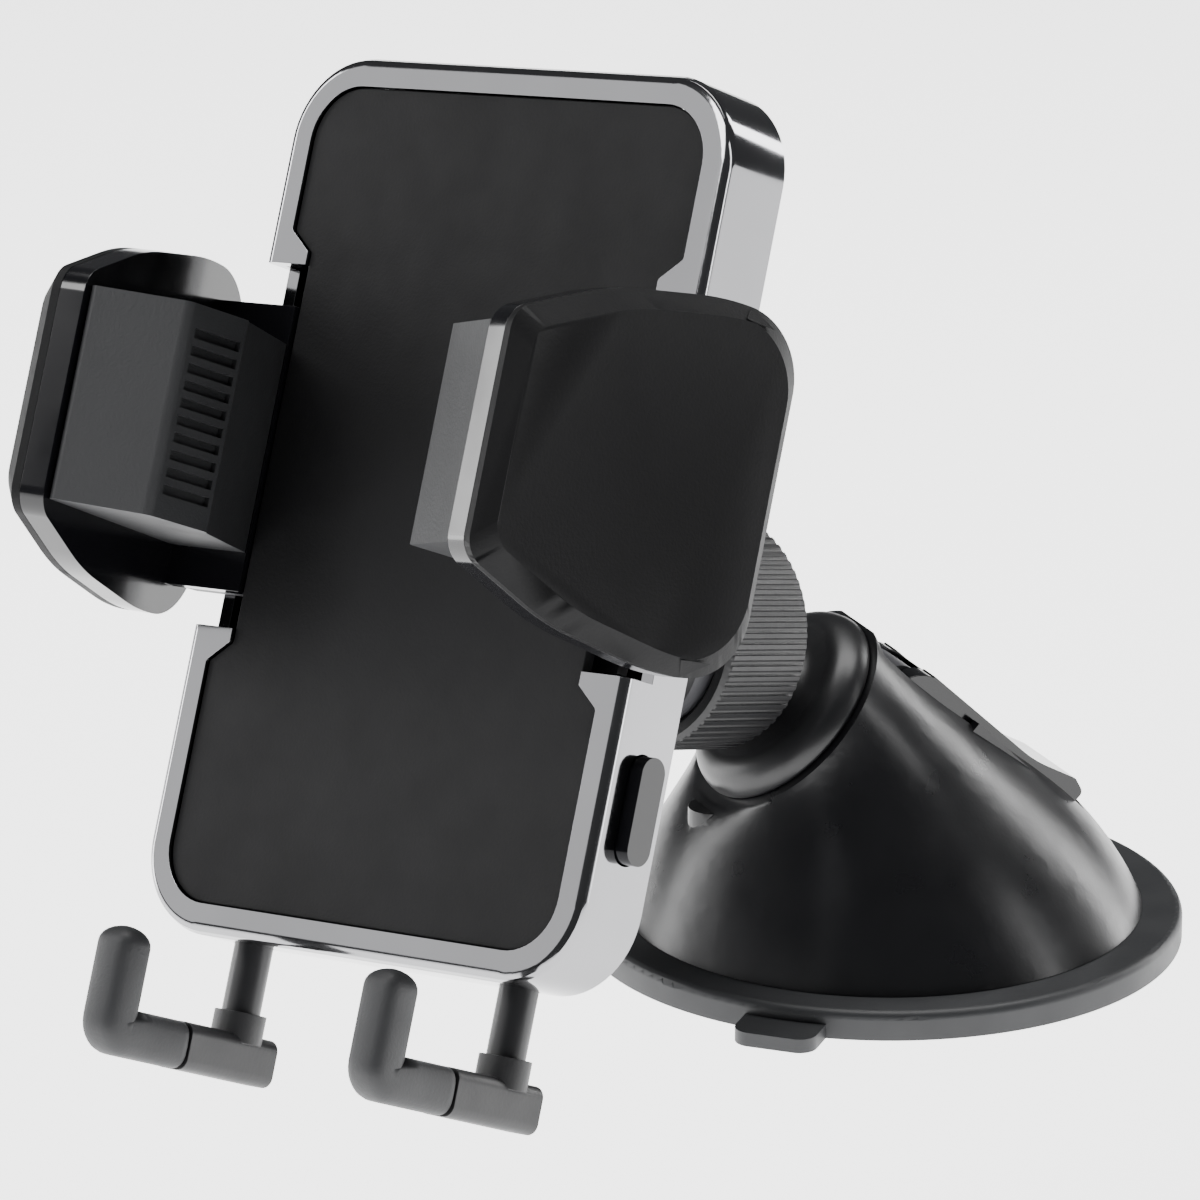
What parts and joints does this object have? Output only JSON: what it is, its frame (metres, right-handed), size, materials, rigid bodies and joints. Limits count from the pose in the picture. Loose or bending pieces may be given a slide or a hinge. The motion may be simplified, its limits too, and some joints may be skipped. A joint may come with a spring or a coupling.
{
  "type": "car phone mount",
  "caption": "Spring-armed phone cradle on a lockable ball joint, carried by a domed suction-cup base with a cam lock lever.",
  "frame": {"origin": "centre of the suction face, the underside of the suction disc", "axes": "+Z away from the surface the disc sticks to, -Y towards the ball neck and the cradle, +Y towards the lock lever, +X to the right as the cradle is faced"},
  "size_m": [0.113, 0.1707, 0.1348],
  "materials": {
    "soft_black": "matte soft-touch",
    "cup_rubber": "semi-matte soft elastomer",
    "gloss_black": "glossy moulded",
    "housing_black": "satin-gloss moulded, very fine grain",
    "satin_black": "satin, fine grain",
    "matte_black": "matte moulded",
    "pad_grey": "matte, fine grain",
    "dark_chrome": "dark smoked chrome plating",
    "nylon": "natural acetal",
    "inner_grey": "moulded, unfinished",
    "steel": "zinc-plated",
    "spring_steel": "drawn wire"
  },
  "bodies": {
    "base": {"dome_housing": "housing_black", "base_plate": "inner_grey", "base_screws": "steel", "cam_bridge": "nylon", "ball_stud": "satin_black", "stud_nut": "steel"},
    "cup": {"suction_cup": "cup_rubber", "cup_stem": "inner_grey", "lever_pin": "steel", "cup_spring": "spring_steel"},
    "lever": {"lock_lever": "gloss_black"},
    "swivel": {"ball_liner": "nylon"},
    "tilter": {"pressure_pad": "nylon"},
    "cradle": {"ball_collet": "nylon", "ball_socket": "inner_grey", "socket_screws": "steel", "rear_cover": "matte_black", "cover_screws": "steel", "chassis": "inner_grey", "bezel_frame": "dark_chrome", "front_panel": "soft_black", "gear_spring": "spring_steel", "button_spring": "spring_steel"},
    "nut": {"lock_nut": "matte_black"},
    "arm_right": {"slide_right": "inner_grey", "arm_shell_right": "gloss_black", "arm_cover_right": "soft_black", "arm_pad_right": "pad_grey", "arm_screws_right": "steel"},
    "arm_left": {"slide_left": "inner_grey", "arm_shell_left": "gloss_black", "arm_cover_left": "soft_black", "arm_pad_left": "pad_grey", "arm_screws_left": "steel"},
    "gear": {"drive_gear": "nylon"},
    "button": {"release_button": "gloss_black"},
    "pawl": {"release_pawl": "nylon"},
    "carriage": {"foot_carriage": "inner_grey", "foot_post_right": "satin_black", "foot_post_left": "satin_black"},
    "foot_right": {"foot_right": "matte_black", "foot_boot_right": "pad_grey"},
    "foot_left": {"foot_left": "matte_black", "foot_boot_left": "pad_grey"}
  },
  "joints": [
    {"name": "lever_hinge", "type": "hinge", "parent": "cup", "child": "lever", "pos_m": [0, 0, 0.0359], "axis": [1, 0, 0], "range_deg": [0, 85]},
    {"name": "cup_slide", "type": "slide", "parent": "base", "child": "cup", "axis": [0, 0, -1], "range_m": [0, 0.0026], "deforming": ["cup_spring"]},
    {"name": "ball_pan", "type": "hinge", "parent": "base", "child": "swivel", "pos_m": [0, -0.0285, 0.0478], "axis": [0, 0, 1], "range_deg": [-48, 3]},
    {"name": "ball_tilt", "type": "hinge", "parent": "swivel", "child": "tilter", "pos_m": [0, -0.0285, 0.0478], "axis": [-0.914, -0.4058, 0], "range_deg": [-2, 50]},
    {"name": "ball_roll", "type": "hinge", "parent": "tilter", "child": "cradle", "pos_m": [0, -0.0285, 0.0478], "axis": [0.393, -0.8852, 0.2488], "continuous": true},
    {"name": "nut_spin", "type": "hinge", "parent": "cradle", "child": "nut", "pos_m": [0, -0.0285, 0.0478], "axis": [0.393, -0.8852, 0.2488], "continuous": true},
    {"name": "arm_right_slide", "type": "slide", "parent": "cradle", "child": "arm_right", "axis": [0.8925, 0.4324, 0.1287], "range_m": [0, 0.017]},
    {"name": "arm_left_slide", "type": "slide", "parent": "cradle", "child": "arm_left", "axis": [-0.8925, -0.4324, -0.1287], "range_m": [0, 0.0171]},
    {"name": "gear_spin", "type": "hinge", "parent": "cradle", "child": "gear", "pos_m": [0.01554, -0.07039, 0.08078], "axis": [0.3425, -0.8351, 0.4305], "range_deg": [0, 140]},
    {"name": "button_press", "type": "slide", "parent": "cradle", "child": "button", "axis": [-0.8925, -0.4324, -0.1287], "range_m": [0, 0.0014], "stiffness_N_per_m": 700, "springref_m": -0.001},
    {"name": "pawl_swing", "type": "hinge", "parent": "cradle", "child": "pawl", "pos_m": [0.02914, -0.0742, 0.0614], "axis": [-0.3425, 0.8351, -0.4305], "range_deg": [0, 4.6]},
    {"name": "feet_extend", "type": "slide", "parent": "cradle", "child": "carriage", "axis": [0.2937, -0.3401, -0.8934], "range_m": [-0.003, 0.0026]},
    {"name": "foot_right_swing", "type": "hinge", "parent": "carriage", "child": "foot_right", "pos_m": [0.0575, -0.08249, 0.01231], "axis": [-0.2937, 0.3401, 0.8934], "range_deg": [0, 90]},
    {"name": "foot_left_swing", "type": "hinge", "parent": "carriage", "child": "foot_left", "pos_m": [0.01573, -0.10272, 0.00629], "axis": [0.2937, -0.3401, -0.8934], "range_deg": [0, 90]}
  ],
  "couplings": [
    {"joint": "cup_slide", "follows": "lever_hinge", "m_per_rad": 0.0016852},
    {"joint": "arm_left_slide", "follows": "arm_right_slide", "ratio": 1},
    {"joint": "gear_spin", "follows": "arm_right_slide", "rad_per_m": 142.86},
    {"joint": "pawl_swing", "follows": "button_press", "rad_per_m": 53.763}
  ]
}
